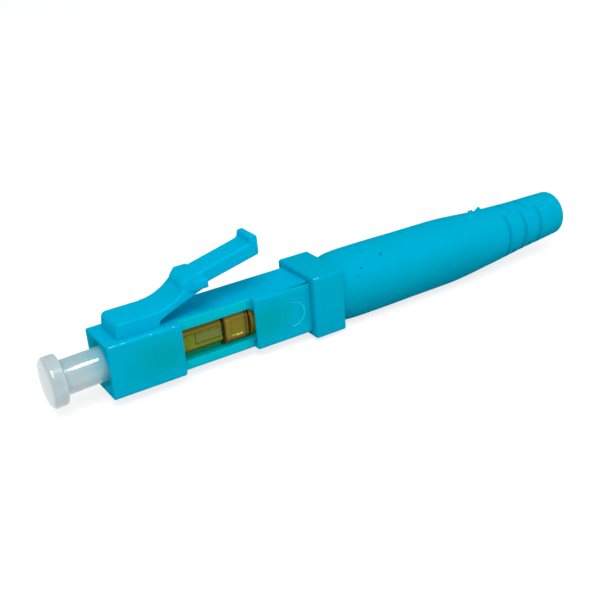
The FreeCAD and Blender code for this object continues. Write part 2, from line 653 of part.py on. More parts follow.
side_sketch = tail_sketch("side_slot_outline", "XY_Plane", level, FreeCAD.Vector(0, 1, 0))
for step in (-1, 0, 1):
    draw_outline(side_sketch, slot_corners("%d * Sizes.slot_pitch" % step, "Sizes.slot_width", 1))
side_slots = revolve(boot, "Groove", "side_slots", side_sketch, "Sizes.side_slot_arc")
mirrored = boot.newObject("PartDesign::Mirrored", "side_slots_mirrored")
mirrored.Originals = [side_slots]
mirrored.MirrorPlane = (origin_plane(boot, "XZ_Plane"), [""])
boot.Tip = mirrored
for label, side, arc in (("top", 1, "Sizes.top_slot_arc"), ("bottom", -1, "Sizes.side_slot_arc")):
    slot_sketch = tail_sketch(label + "_slot_outline", "XZ_Plane", tilted, FreeCAD.Vector(0, 0, 1))
    for step in (-1, 0):
        place = "%d * Sizes.slot_pitch + Sizes.slot_stagger" % step
        draw_outline(slot_sketch, slot_corners(place, "Sizes.slot_thin", side))
    revolve(boot, "Groove", label + "_slots", slot_sketch, arc)

cable_sketch = tail_sketch("cable_entry_outline", "XZ_Plane", tilted, FreeCAD.Vector(0, 0, 1))
draw_outline(cable_sketch, box_corners("Sizes.post_room_end - Sizes.tail_place - Sizes.post_room_taper",
                                       "Sizes.boot_length - Sizes.tail_place + Sizes.overcut",
                                       "0", "Sizes.cable_radius"))
revolve(boot, "Groove", "cable_entry", cable_sketch)
bored(boot, "post_room", [
    ("Sizes.collar_end - Sizes.overcut", "0"),
    ("Sizes.collar_end - Sizes.overcut", "Sizes.post_room"),
    ("Sizes.post_room_end - Sizes.post_room_taper", "Sizes.post_room"),
    ("Sizes.post_room_end", "(Sizes.cable_radius + Sizes.post_room) / 2"),
    ("Sizes.post_room_end", "0"),
])
socket_sketch = make_sketch(boot, "socket_section", "YZ_Plane", {"Base.z": "Sizes.socket_end"})
draw_outline(socket_sketch, box_corners("-Sizes.socket_side / 2", "Sizes.socket_side / 2",
                                        "-Sizes.socket_side / 2", "Sizes.socket_side / 2"))
pocket(boot, "socket", socket_sketch, "Sizes.socket_end - Sizes.collar_start + Sizes.overcut")

# ---------------------------------------------------------------- dust cap

cap = turned("dust_cap", [
    ("Sizes.cap_front", "0"),
    ("Sizes.cap_front", "Sizes.cap_flange_radius - Sizes.cap_round"),
    ("Sizes.cap_front + 0.3 * Sizes.cap_round", "Sizes.cap_flange_radius - 0.3 * Sizes.cap_round"),
    ("Sizes.cap_front + Sizes.cap_round", "Sizes.cap_flange_radius"),
    ("Sizes.cap_flange_end - Sizes.cap_break", "Sizes.cap_flange_radius"),
    ("Sizes.cap_flange_end", "Sizes.cap_flange_radius - Sizes.cap_break"),
    ("Sizes.cap_flange_end", "Sizes.cap_stem_radius"),
    ("Sizes.cap_end", "Sizes.cap_stem_radius"),
    ("Sizes.cap_end", "0"),
])
bored(cap, "cap_bore", [
    ("Sizes.cap_bore_front", "0"),
    ("Sizes.cap_bore_front", "(Sizes.ferrule_radius + Sizes.cap_grip)"),
    ("Sizes.cap_end - Sizes.cap_mouth", "(Sizes.ferrule_radius + Sizes.cap_grip)"),
    ("Sizes.cap_end + Sizes.cap_mouth", "(Sizes.ferrule_radius + Sizes.cap_grip) + 2 * Sizes.cap_mouth"),
    ("Sizes.cap_end + Sizes.cap_mouth", "0"),
])

# ---------------------------------------------------------------- ferrule set

turned("ferrule", [
    ("Sizes.ferrule_front", "Sizes.fibre_room"),
    ("Sizes.ferrule_front", "Sizes.ferrule_radius - Sizes.ferrule_chamfer"),
    ("Sizes.ferrule_front + Sizes.ferrule_chamfer", "Sizes.ferrule_radius"),
    ("Sizes.ferrule_end", "Sizes.ferrule_radius"),
    ("Sizes.ferrule_end", "Sizes.fibre_room"),
])
turned("fibre_stub", [
    ("Sizes.ferrule_front", "0"),
    ("Sizes.ferrule_front", "Sizes.fibre_radius"),
    ("Sizes.fibre_end", "Sizes.fibre_radius"),
    ("Sizes.fibre_end", "0"),
])

holder = turned("ferrule_holder", [
    ("Sizes.nose_front", "Sizes.ferrule_radius + Sizes.fit_play"),
    ("Sizes.nose_front", "Sizes.nose_radius - Sizes.nose_chamfer"),
    ("Sizes.nose_front + Sizes.nose_chamfer", "Sizes.nose_radius"),
    ("Sizes.throat_end", "Sizes.nose_radius"),
    ("Sizes.throat_end", "(Sizes.bore_radius - Sizes.stop_play)"),
    ("Sizes.stop_end", "(Sizes.bore_radius - Sizes.stop_play)"),
    ("Sizes.stop_end", "Sizes.barrel_radius"),
    ("Sizes.barrel_end", "Sizes.barrel_radius"),
    ("Sizes.barrel_end", "Sizes.neck_radius"),
    ("Sizes.neck_end", "Sizes.neck_radius"),
    ("Sizes.neck_end", "Sizes.tail_radius"),
    ("Sizes.tail_end", "Sizes.tail_radius"),
    ("Sizes.tail_end", "Sizes.tail_bore"),
    ("Sizes.splice_back", "Sizes.tail_bore"),
    ("Sizes.splice_back", "Sizes.fibre_hole"),
    ("Sizes.ferrule_end", "Sizes.fibre_hole"),
    ("Sizes.ferrule_end", "Sizes.ferrule_radius + Sizes.fit_play"),
])
for label, side in (("near", "-1"), ("far", "1")):
    flat_sketch = make_sketch(holder, "flat_outline_" + label, "XY_Plane")
    beyond = side + " * (Sizes.barrel_radius + Sizes.overcut)"
    draw_outline(flat_sketch, box_corners("Sizes.flat_front", "Sizes.barrel_end",
                                          side + " * Sizes.barrel_flat", beyond))
    pocket(holder, "barrel_flat_" + label, flat_sketch, "4 * Sizes.barrel_radius", midplane=True)
slot_sketch = make_sketch(holder, "splice_slot_outline", "XY_Plane")
draw_outline(slot_sketch, box_corners("Sizes.splice_front", "Sizes.splice_back",
                                      "-Sizes.barrel_radius - Sizes.overcut", "Sizes.splice_far"))
pocket(holder, "splice_slot", slot_sketch, "2 * Sizes.splice_half", midplane=True)
keel_room_sketch = make_sketch(holder, "keel_room_outline", "XZ_Plane")
draw_outline(keel_room_sketch, box_corners("Sizes.keel_front - Sizes.keel_play",
                                           "Sizes.keel_back + Sizes.keel_play",
                                           "0", "Sizes.neck_radius + Sizes.overcut"))
pocket(holder, "keel_room", keel_room_sketch, "2 * (Sizes.keel_half + Sizes.keel_side_play)", midplane=True)

for label, side in (("lower", -1), ("upper", 1)):
    half = make_body("splice_" + label)
    plank_low = "Sizes.fit_play" if side > 0 else "-1 * Sizes.splice_half + Sizes.splice_play"
    plan = make_sketch(half, label + "_plan", "XY_Plane", {"Base.z": plank_low})
    draw_outline(plan, [
        ("Sizes.splice_front + Sizes.splice_play", "-1 * Sizes.plank_near"),
        ("Sizes.barrel_end - Sizes.plank_gap", "-1 * Sizes.plank_near"),
        ("Sizes.barrel_end - Sizes.plank_gap", "-1 * Sizes.plank_inner"),
        ("Sizes.splice_back - Sizes.splice_play", "-1 * Sizes.plank_inner"),
        ("Sizes.splice_back - Sizes.splice_play", "Sizes.splice_far - Sizes.splice_play"),
        ("Sizes.splice_front + Sizes.splice_play", "Sizes.splice_far - Sizes.splice_play"),
    ])
    pad(half, label + "_plank", plan, "Sizes.splice_half - Sizes.splice_play - Sizes.fit_play")
    if side > 0:
        keel_sketch = make_sketch(half, "keel_outline", "XZ_Plane")
        draw_outline(keel_sketch, box_corners("Sizes.keel_front", "Sizes.keel_back",
                                              "Sizes.keel_root", "Sizes.keel_top"))
        pad(half, "keel", keel_sketch, "2 * Sizes.keel_half", midplane=True)
    groove_sketch = make_sketch(half, label + "_groove_outline", "YZ_Plane",
                                {"Base.z": "Sizes.splice_back + Sizes.overcut"})
    draw_outline(groove_sketch, [
        ("-1 * Sizes.groove_half", "0"),
        ("0", "%d * Sizes.groove_half" % side),
        ("Sizes.groove_half", "0"),
    ])
    groove_length = "Sizes.splice_back - Sizes.splice_front + 2 * Sizes.overcut"
    pocket(half, label + "_fibre_groove", groove_sketch, groove_length)

cam = turned("splice_cam", [
    ("Sizes.cam_front", "Sizes.cam_bore"),
    ("Sizes.cam_front", "(Sizes.bore_radius - Sizes.cam_play) - Sizes.cam_chamfer"),
    ("Sizes.cam_front + Sizes.cam_chamfer", "(Sizes.bore_radius - Sizes.cam_play)"),
    ("Sizes.cam_end", "(Sizes.bore_radius - Sizes.cam_play)"),
    ("Sizes.cam_end", "Sizes.cam_bore"),
])
for label, side in (("near", "-1"), ("far", "1")):
    rim_sketch = make_sketch(cam, "cam_flat_outline_" + label, "XY_Plane")
    draw_outline(rim_sketch, [
        ("Sizes.cam_front - Sizes.overcut", side + " * Sizes.cam_flat"),
        ("Sizes.cam_panel_front", side + " * Sizes.cam_flat"),
        ("Sizes.cam_panel_front", side + " * Sizes.cam_panel"),
        ("Sizes.cam_panel_end", side + " * Sizes.cam_panel"),
        ("Sizes.cam_panel_end", side + " * Sizes.cam_flat"),
        ("Sizes.cam_end + Sizes.overcut", side + " * Sizes.cam_flat"),
        ("Sizes.cam_end + Sizes.overcut", side + " * ((Sizes.bore_radius - Sizes.cam_play) + Sizes.overcut)"),
        ("Sizes.cam_front - Sizes.overcut", side + " * ((Sizes.bore_radius - Sizes.cam_play) + Sizes.overcut)"),
    ])
    pocket(cam, "cam_flat_" + label, rim_sketch, "4 * (Sizes.bore_radius - Sizes.cam_play)", midplane=True)
relief_sketch = make_sketch(cam, "cam_relief_outline", "XZ_Plane")
draw_outline(relief_sketch, box_corners("Sizes.keel_front - Sizes.relief_play",
                                        "Sizes.keel_back + Sizes.relief_play",
                                        "0", "Sizes.cam_relief"))
revolve(cam, "Groove", "cam_relief", relief_sketch, "Sizes.relief_arc")

turned("cam_ring", [
    ("Sizes.ring_front", "Sizes.neck_radius"),
    ("Sizes.ring_front", "(Sizes.bore_radius - Sizes.ring_play)"),
    ("Sizes.neck_end", "(Sizes.bore_radius - Sizes.ring_play)"),
    ("Sizes.neck_end", "Sizes.neck_radius"),
])
turned("lead_in_tube", [
    ("Sizes.tube_front", "Sizes.tube_bore"),
    ("Sizes.tube_front", "Sizes.tube_radius"),
    ("Sizes.tube_end", "Sizes.tube_radius"),
    ("Sizes.tube_end", "Sizes.tube_funnel"),
    ("Sizes.tube_end - Sizes.funnel_length", "Sizes.tube_bore"),
])
turned("crimp_tube", [
    ("Sizes.crimp_front", "Sizes.crimp_inner"),
    ("Sizes.crimp_front", "Sizes.crimp_outer"),
    ("Sizes.crimp_end", "Sizes.crimp_outer"),
    ("Sizes.crimp_end", "Sizes.crimp_inner"),
])

# ---------------------------------------------------------------- spring and its retainer

spring = make_body("spring")
end_pitch = "(2 * Sizes.wire_radius + Sizes.coil_gap)"
spring_start = "Sizes.spring_front + Sizes.wire_radius"
spring_stop = "Sizes.spring_end - Sizes.wire_radius"
COILS = [
    # name, start of its wire's middle, turns, length along the axis
    ("front_closed_turn", spring_start, "1", end_pitch),
    ("open_turns", spring_start + " + " + end_pitch, "Sizes.spring_turns",
     "({0}) - ({1}) - 2 * {2}".format(spring_stop, spring_start, end_pitch)),
    ("rear_closed_turn", spring_stop + " - " + end_pitch, "1", end_pitch),
]
WIRE_SIDES = 6


def wire_corners(start):
    """The wire's section, drawn with flat sides round the circle's own size."""
    corners = []
    for side in range(WIRE_SIDES):
        turn = 360.0 * side / WIRE_SIDES
        along = "{0} + Sizes.wire_radius * cos({1} * 1 deg)".format(start, turn)
        out = "Sizes.spring_radius + Sizes.wire_radius * sin({0} * 1 deg)".format(turn)
        corners.append((along, out))
    return corners


for name, start, turns, length in COILS:
    wire_sketch = make_sketch(spring, name + "_wire", "XY_Plane")
    draw_outline(wire_sketch, wire_corners(start))
    doc.recompute()
    coil = spring.newObject("PartDesign::AdditiveHelix", name)
    coil.Profile = (wire_sketch, [""])
    coil.ReferenceAxis = (wire_sketch, ["H_Axis"])
    coil.Mode = 2
    coil.setExpression("Turns", turns)
    coil.setExpression("Height", length)
    doc.recompute()

turned("spring_retainer", [
    ("Sizes.retainer_front", "Sizes.retainer_bore"),
    ("Sizes.retainer_front", "(Sizes.bore_radius - Sizes.retainer_play) - Sizes.retainer_chamfer"),
    ("Sizes.retainer_front + Sizes.retainer_chamfer", "(Sizes.bore_radius - Sizes.retainer_play)"),
    ("Sizes.plug_length + Sizes.spigot_length", "(Sizes.bore_radius - Sizes.retainer_play)"),
    ("Sizes.plug_length + Sizes.spigot_length", "Sizes.retainer_flange"),
    ("Sizes.socket_end - Sizes.socket_play", "Sizes.retainer_flange"),
    ("Sizes.socket_end - Sizes.socket_play", "Sizes.post_radius"),
    ("Sizes.post_end - Sizes.barb_start", "Sizes.post_radius"),
    ("Sizes.post_end - Sizes.barb_start", "Sizes.barb_radius"),
    ("Sizes.post_end", "Sizes.post_radius - Sizes.retainer_chamfer"),
    ("Sizes.post_end", "Sizes.retainer_bore"),
])

# ---------------------------------------------------------------- check and write

doc.recompute()
for thing in doc.Objects:
    for state in thing.State:
        if state in ("Invalid", "Error"):
            raise RuntimeError("%s did not rebuild" % thing.Name)
bodies = [thing for thing in doc.Objects if thing.TypeId == "PartDesign::Body"]
for body in bodies:
    shape = body.Shape
    if shape.isNull() or not shape.isValid():
        raise RuntimeError("%s has no sound shape" % body.Label)
    if len(shape.Solids) != 1:
        raise RuntimeError("%s is %d solids" % (body.Label, len(shape.Solids)))
os.makedirs("parts", exist_ok=True)
for body in bodies:
    body.Shape.exportStep("parts/%s.step" % body.Label)
    box = body.Shape.BoundBox
    print("%-16s volume %8.3f  x %7.2f %7.2f  y %6.2f %6.2f  z %6.2f %6.2f" % (
        body.Label, body.Shape.Volume, box.XMin, box.XMax, box.YMin, box.YMax, box.ZMin, box.ZMax))
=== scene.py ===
"""Looks of an LC fibre connector: aqua plug and boot, amber splice parts and a milky dust cap."""

import math

import bmesh
import bpy
from mathutils import Matrix, Vector


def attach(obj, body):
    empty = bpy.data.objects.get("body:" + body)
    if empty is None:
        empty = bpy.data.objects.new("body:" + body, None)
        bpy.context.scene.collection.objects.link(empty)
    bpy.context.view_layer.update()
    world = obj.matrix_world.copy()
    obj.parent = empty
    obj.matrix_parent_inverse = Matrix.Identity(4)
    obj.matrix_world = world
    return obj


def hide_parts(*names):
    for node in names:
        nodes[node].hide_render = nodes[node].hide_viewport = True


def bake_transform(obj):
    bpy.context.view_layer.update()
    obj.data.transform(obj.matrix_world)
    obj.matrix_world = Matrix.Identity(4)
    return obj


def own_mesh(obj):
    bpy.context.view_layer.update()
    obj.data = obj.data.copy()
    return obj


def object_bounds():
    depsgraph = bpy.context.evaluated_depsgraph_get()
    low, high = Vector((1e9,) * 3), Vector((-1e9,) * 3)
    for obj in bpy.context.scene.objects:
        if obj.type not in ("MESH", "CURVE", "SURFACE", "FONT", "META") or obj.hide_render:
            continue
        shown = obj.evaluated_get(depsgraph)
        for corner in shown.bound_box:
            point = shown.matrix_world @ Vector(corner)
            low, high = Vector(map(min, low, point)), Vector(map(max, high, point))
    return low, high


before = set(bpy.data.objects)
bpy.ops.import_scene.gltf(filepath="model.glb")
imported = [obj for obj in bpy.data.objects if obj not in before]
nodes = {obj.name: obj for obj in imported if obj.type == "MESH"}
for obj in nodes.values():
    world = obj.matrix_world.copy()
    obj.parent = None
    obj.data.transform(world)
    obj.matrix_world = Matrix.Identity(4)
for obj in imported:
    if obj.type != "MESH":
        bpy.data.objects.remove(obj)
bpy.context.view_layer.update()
scene = bpy.context.scene
MM = 0.001
MERGE = 0.0005 * MM


# ---------------------------------------------------------------- shader maths

class Value:
    """A shader socket that Python's operators work on. Each operation adds a Math node."""

    def __init__(self, material, socket):
        self.material = material
        self.socket = socket

    def maths(self, operation, *others):
        node = self.material.node("ShaderNodeMath", {"operation": operation},
                                  dict(enumerate((self,) + others)))
        return Value(self.material, node.outputs[0])

    def __add__(self, other):
        return self.maths("ADD", other)

    __radd__ = __add__

    def __mul__(self, other):
        return self.maths("MULTIPLY", other)

    __rmul__ = __mul__

    def __sub__(self, other):
        return self.maths("SUBTRACT", other)

    def __rsub__(self, other):
        return (self * -1) + other

    def __pow__(self, other):
        return self.maths("POWER", other)

    def size(self):
        return self.maths("ABSOLUTE")

    def between(self, low, high):
        """0 below low, 1 above high, with a soft ramp."""
        node = self.material.node("ShaderNodeMapRange", {"interpolation_type": "SMOOTHSTEP"},
                                  {"Value": self, "From Min": low, "From Max": high})
        return Value(self.material, node.outputs[0])

    def past(self, low, high):
        """0 before low, 1 past high, both in millimetres."""
        return self.between(low * MM, high * MM)

    def before(self, low, high):
        """1 before low, 0 past high, both in millimetres."""
        return 1 - self.past(low, high)

    def near(self, middle, half, fade):
        """1 within half of middle, 0 at fade from it, all in millimetres."""
        return (self - middle * MM).size().before(half, fade)


class Material:
    """A node material, or a world. node() makes any node: its type, its settings, its sockets."""

    def __init__(self, name, store=bpy.data.materials):
        self.data = store.new(name)
        self.data.use_nodes = True
        self.tree = self.data.node_tree
        self.tree.nodes.clear()

    def node(self, kind, settings=None, sockets=None):
        node = self.tree.nodes.new(kind)
        for name, value in (settings or {}).items():
            setattr(node, name, value)
        for name, value in (sockets or {}).items():
            self.feed(node.inputs[name], value)
        return node

    def feed(self, socket, value):
        if isinstance(value, Value):
            value = value.socket
        if isinstance(value, bpy.types.NodeSocket):
            self.tree.links.new(value, socket)
        else:
            socket.default_value = value

    def value(self, node, output=0):
        return Value(self, node.outputs[output])

    def place(self):
        """Object coordinates, in metres."""
        return self.node("ShaderNodeTexCoord").outputs["Object"]

    def axes(self):
        split = self.node("ShaderNodeSeparateXYZ", None, {0: self.place()})
        return [Value(self, out) for out in split.outputs]

    def noise(self, size, detail=3.0, stretch=None):
        """Noise whose features are about size millimetres."""
        where = self.place()
        if stretch:
            where = self.node("ShaderNodeVectorMath", {"operation": "MULTIPLY"},
                              {0: where, 1: stretch}).outputs[0]
        return self.value(self.node("ShaderNodeTexNoise", None, {
            "Vector": where, "Scale": 1 / (size * MM), "Detail": detail, "Roughness": 0.5}))

    def mix(self, factor, low, high):
        """A colour between low and high."""
        node = self.node("ShaderNodeMix", {"data_type": "RGBA"})
        self.feed(node.inputs["Factor"], factor)
        self.feed(node.inputs[6], low)
        self.feed(node.inputs[7], high)
        return node.outputs[2]

    def near_point(self, centre, radius, soft):
        """1 within radius of a point, falling to 0 over soft, all in millimetres."""
        node = self.node("ShaderNodeVectorMath", {"operation": "DISTANCE"},
                         {0: self.place(), 1: Vector(centre) * MM})
        return 1 - self.value(node, 1).between(radius * MM, radius * MM + soft * MM)

    def bump(self, height, distance, strength, normal=None):
        """A normal tilted by a height whose full rise is the distance, in millimetres."""
        sockets = {"Height": height, "Distance": distance * MM, "Strength": strength}
        if normal is not None:
            sockets["Normal"] = normal
        return self.node("ShaderNodeBump", None, sockets).outputs[0]

    def soft_edges(self, radius):
        """A normal that rounds the look of sharp edges over the radius, in millimetres."""
        return self.value(self.node("ShaderNodeBevel", {"samples": 6}, {"Radius": radius * MM}))

    def principled(self, sockets):
        return self.node("ShaderNodeBsdfPrincipled", None, sockets).outputs[0]

    def output(self, surface):
        self.node("ShaderNodeOutputMaterial", None, {"Surface": surface})
        return self.data


def srgb(red, green, blue):
    """A linear colour from display values of 0 to 255."""
    def linear(value):
        share = value / 255
        return share / 12.92 if share <= 0.04045 else ((share + 0.055) / 1.055) ** 2.4
    return (linear(red), linear(green), linear(blue), 1.0)


# ---------------------------------------------------------------- materials

BLACK, WHITE = (0.0, 0.0, 0.0, 1.0), (1.0, 1.0, 1.0, 1.0)
AQUA_SHEEN = srgb(0, 190, 230)
THIN_WALLS = [(4.2, 4.0), (13.8, 3.2)]    # middle and reach along, in millimetres
EJECTOR_MARK, MARK_RADIUS, MARK_DROP = 16.2, 1.05, 0.07
TOP_EDGE = (-2.168, 2.208)                # the near top edge, across and up


def aqua_plastic(paint, colour, roughness, metallic, extra):
    """The shader that the plug's and the boot's plastic share."""
    sockets = {"Base Color": colour, "Roughness": roughness, "Metallic": metallic,
               "Specular IOR Level": 0.0, "Specular Tint": AQUA_SHEEN,
               "Subsurface Radius": (0.2, 0.9, 1.2), "Subsurface Scale": 0.5 * MM}
    sockets.update(extra)
    return paint.output(paint.principled(sockets))


def aqua_plug_material():
    """Satin aqua, greener where a thin wall covers the amber parts. A faint glow in the chamber and
    in the front cavity stands for the light that comes through the walls."""
    paint = Material("aqua_moulded_plastic")
    along, across, up = paint.axes()
    height, depth = up.size(), across.size()
    radius = (across ** 2 + up ** 2) ** 0.5
    near_side = across.before(-2.24, -2.0)

    cloud = paint.noise(2.4, 2.0)
    colour = paint.mix(cloud.between(0.3, 0.7), srgb(0, 165, 196), srgb(0, 170, 201))
    # Painted light and shade: the top is painted a lighter, bluer aqua and the near side a darker
    # one.
    colour = paint.mix(up.past(2.22, 2.26) * 0.8, colour, srgb(0, 170, 209))
    colour = paint.mix(near_side * 0.5, colour, srgb(0, 164, 194))
    front, rear = [along.near(middle, 0.2, fade) for middle, fade in THIN_WALLS]
    thin = near_side * height.before(0.2, 2.3) * (front + rear)
    colour = paint.mix(thin * 0.9, colour, srgb(0, 158, 170))

    # The recess is painted brighter, which is painted light, and greener where its thin wall covers
    # the amber parts.
    recess = across.before(-1.5, -1.4) * across.past(-2.2, -2.0)
    recess = recess * along.past(6.1, 6.3) * along.before(12.5, 12.7) * up.before(2.24, 2.27)
    colour = paint.mix(recess * 0.8, colour, srgb(0, 182, 196))
    # Painted shade and light: the chamber's inside is painted a flat dark green; the glow below is
    # painted light too.
    chamber = depth.before(1.5, 1.54) * height.before(1.36, 1.4)
    chamber = chamber.maths("MAXIMUM", radius.before(1.76, 1.8)) * along.past(6.0, 6.3)
    colour = paint.mix(chamber, colour, srgb(0, 90, 66))
    # Painted light: the front cavity is painted a lighter turquoise; it also glows below.
    cavity = radius.before(1.96, 2.06) * along.before(3.5, 3.7)
    colour = paint.mix(cavity, colour, srgb(40, 170, 184))
    glow = paint.mix(chamber, BLACK, srgb(0, 104, 84))
    glow = paint.mix(cavity, glow, srgb(0, 92, 100))

    # A painted highlight along one half of the ejector mark's rim.
    from_mark = along - EJECTOR_MARK * MM
    mark_radius = (from_mark ** 2 + (up + MARK_DROP * MM) ** 2) ** 0.5
    rim_highlight = mark_radius.near(MARK_RADIUS, 0.02, 0.07) * near_side * from_mark.past(-0.5, 0.1)
    colour = paint.mix(rim_highlight * 0.75, colour, srgb(40, 206, 226))

    edge_across, edge_up = TOP_EDGE
    edge = ((across - edge_across * MM) ** 2 + (up - edge_up * MM) ** 2) ** 0.5
    glint = edge.before(0.01, 0.045) * along.before(1.2, 2.2)
    glint = glint * paint.noise(0.3, 1.0).between(0.45, 0.6) * 0.4
    for spot in (3.6, 5.5):
        glint = glint + paint.near_point((spot, -2.17, 2.21), 0.025, 0.04) * 0.5
    colour = paint.mix(glint.between(0, 1), colour, srgb(205, 242, 250))

    grain = paint.noise(0.12)
    wavy = paint.bump(paint.noise(1.6, 1.0), 0.02, 0.3, paint.soft_edges(0.16))
    return aqua_plastic(paint, colour, 0.3 + grain * 0.08, 0.08, {
        "Emission Color": glow, "Emission Strength": 1.0, "Subsurface Weight": 0.25,
        "Normal": paint.bump(grain, 0.004, 0.3, wavy)})


SPECKS = [
    # centre in millimetres, radius, strength
    ((25.72, -1.70, 2.62), 0.07, 0.8),
    ((25.6, -1.78, 2.57), 0.09, 0.9),
    ((25.45, -1.90, 2.48), 0.06, 0.7),
    ((23.12, -2.3, 2.12), 0.09, 0.9),
    ((22.64, -2.64, 1.68), 0.08, 0.8),
    ((28.52, -0.35, 3.05), 0.08, 0.4),
]


def aqua_boot_material():
    """Matt aqua, painted lighter on top, towards the tail and on the collar, and darker underneath,
    with painted glints on the collar's corner and a few dark specks from the moulding.
    """
    paint = Material("aqua_soft_boot")
    along, _, up = paint.axes()
    cloud = paint.noise(3.5, 2.0, stretch=(0.35, 1, 1))
    colour = paint.mix(cloud.between(0.3, 0.7), srgb(0, 153, 182), srgb(0, 158, 188))
    # Painted light: lighter towards the tail and on top.
    colour = paint.mix(along.past(34, 40) * 0.8, colour, srgb(0, 163, 195))
    colour = paint.mix(up.past(0.2, 2.2) * 0.8, colour, srgb(0, 163, 198))
    # Painted shade: darker underneath, behind the collar.
    under = up.before(-2.8, 0.6) * along.past(20.9, 21.5)
    colour = paint.mix(under * 0.8, colour, srgb(0, 136, 160))
    for centre, radius, strength in SPECKS:
        spot = paint.near_point(centre, radius * 0.5, radius * 0.8)
        colour = paint.mix(spot * strength, colour, srgb(0, 70, 96))
    # Painted light: the collar is painted a flat, lighter aqua.
    colour = paint.mix(along.before(20.9, 21.0), colour, srgb(0, 162, 193))
    # Two painted glints on the collar's near top corner.
    for place in (18.1, 18.4):
        corner = paint.near_point((place, -2.79, 2.72), 0.03, 0.05)
        colour = paint.mix(corner * 0.5, colour, srgb(215, 245, 250))
    grain = paint.noise(0.1)
    return aqua_plastic(paint, colour, 0.5 + grain * 0.1, 0.05, {
        "Subsurface Weight": 0.2, "Normal": paint.bump(grain, 0.006, 0.4, paint.soft_edges(0.12))})


def amber_material():
    """Clear amber over darker insides: olive, with a brown band on top, painted shade along the
    underside, dark edge lines with painted shade in the gaps, and a painted gleam.
    """
    paint = Material("clear_amber_plastic")
    along, _, up = paint.axes()
    wave = paint.noise(0.35)
    colour = paint.mix(wave.between(0.35, 0.7), srgb(100, 118, 14), srgb(120, 126, 26))
    colour = paint.mix(along.past(9.9, 10.2), colour, srgb(122, 111, 26))
    colour = paint.mix(up.past(0.62, 0.72) * 0.8, colour, srgb(140, 112, 30))
    panel = along.past(7.6, 7.66) * along.before(9.86, 9.92) * up.past(-0.5, -0.46)
    panel = panel * up.before(0.36, 0.4)
    colour = paint.mix(panel * 0.6, colour, srgb(78, 92, 8))
    # Painted shade: darker brown along the underside.
    colour = paint.mix(up.before(-0.82, -0.7) * 0.8, colour, srgb(112, 82, 18))

    def line(value, place, half):
        return value.near(place, half, 2.2 * half)

    holder = along.before(9.9, 10.0)
    window_side = along.past(7.5, 7.6)
    dark = line(up, 0.6, 0.03) * holder + line(up, 0.4, 0.02) * holder * window_side
    dark = dark + line(along, 7.6, 0.03) * window_side * up.before(0.5, 0.56) * up.past(-0.5, -0.3)
    # The lines at 10.12 and 12.36 mm lie on the gaps between holder, cam and ring: painted shade in
    # the gaps.
    for place, half in ((10.12, 0.08), (12.1, 0.04), (12.36, 0.07)):
        dark = dark + line(along, place, half)
    dark = dark + line(along, 10.75, 0.02) * 0.6 + line(up, 0.72, 0.02) * (1 - holder) * 0.6
    colour = paint.mix(dark.between(0, 1) * 0.8, colour, srgb(66, 50, 14))

    gleam = line(up, -0.62, 0.05) * along.past(10.7, 10.8) * along.before(11.7, 11.8)
    gleam = gleam * paint.noise(0.2, 1.0).between(0.4, 0.55)
    colour = paint.mix(gleam, colour, srgb(214, 212, 90))
    return paint.output(paint.principled({
        "Base Color": colour, "Roughness": 0.2 + wave * 0.1, "IOR": 1.4, "Specular IOR Level": 0.2,
        "Normal": paint.bump(wave, 0.02, 0.4)}))


def cap_material():
    """Milky translucent plastic with a clear gloss, painted shade along the stem's top and painted
    aqua light from the plug where it enters.
    """
    paint = Material("milky_cap_plastic")
    cloud = paint.noise(1.5, 2.0)
    along, _, up = paint.axes()
    colour = paint.mix(cloud.between(0.3, 0.7), srgb(168, 187, 191), srgb(176, 193, 197))
    # Painted shade: a darker, bluer tone along the top of the stem.
    upper_stem_shade = up.past(0.5, 1.4) * along.past(-3.4, -3.0)
    colour = paint.mix(upper_stem_shade * 0.45, colour, srgb(104, 166, 180))
    # Painted light: aqua from the plug, near where the stem enters it.
    colour = paint.mix(along.past(-2.2, 0.2) * 0.75, colour, srgb(110, 184, 200))
    return paint.output(paint.principled({
        "Base Color": colour, "Roughness": 0.3 + cloud * 0.06, "IOR": 1.3,
        "Coat Weight": 1.0, "Coat IOR": 1.8, "Coat Roughness": 0.1, "Subsurface Weight": 0.5,
        "Subsurface Radius": (1.0, 1.0, 1.0), "Subsurface Scale": 0.8 * MM}))


def plain_material(name, colour, roughness, metallic=0.0, transmission=0.0):
    paint = Material(name)
    grain = paint.noise(0.15, 2.0)
    return paint.output(paint.principled({
        "Base Color": colour, "Roughness": roughness + grain * 0.06, "Metallic": metallic,
        "Transmission Weight": transmission, "Normal": paint.bump(grain, 0.003, 0.3)}))


aqua_plug = aqua_plug_material()
aqua_boot = aqua_boot_material()
milky = cap_material()
amber = amber_material()
clear = plain_material("clear_splice_plastic", srgb(104, 114, 20), 0.3, transmission=0.1)
plated = plain_material("plated_tube", srgb(200, 200, 202), 0.25, metallic=1.0)
steel = plain_material("spring_steel", srgb(190, 190, 192), 0.22, metallic=1.0)
FINISHES = {
    "plug_housing": aqua_plug, "latch_arm": aqua_plug, "boot": aqua_boot, "dust_cap": milky,
    "ferrule_holder": amber, "splice_cam": amber, "cam_ring": amber,
    "splice_lower": clear, "splice_upper": clear,
    "lead_in_tube": plated, "crimp_tube": plated, "spring": steel,
    "ferrule": plain_material("white_ceramic", srgb(240, 240, 236), 0.12),
    "fibre_stub": plain_material("glass_fibre", srgb(235, 245, 245), 0.05, transmission=0.9),
    "spring_retainer": plain_material("natural_plastic", srgb(216, 220, 214), 0.45),
}
for name, material in FINISHES.items():
    nodes[name].data.materials.clear()
    nodes[name].data.materials.append(material)


# ---------------------------------------------------------------- moulded pieces

def smooth_step(value, low, high):
    share = min(max((value - low) / (high - low), 0.0), 1.0)
    return share * share * (3 - 2 * share)


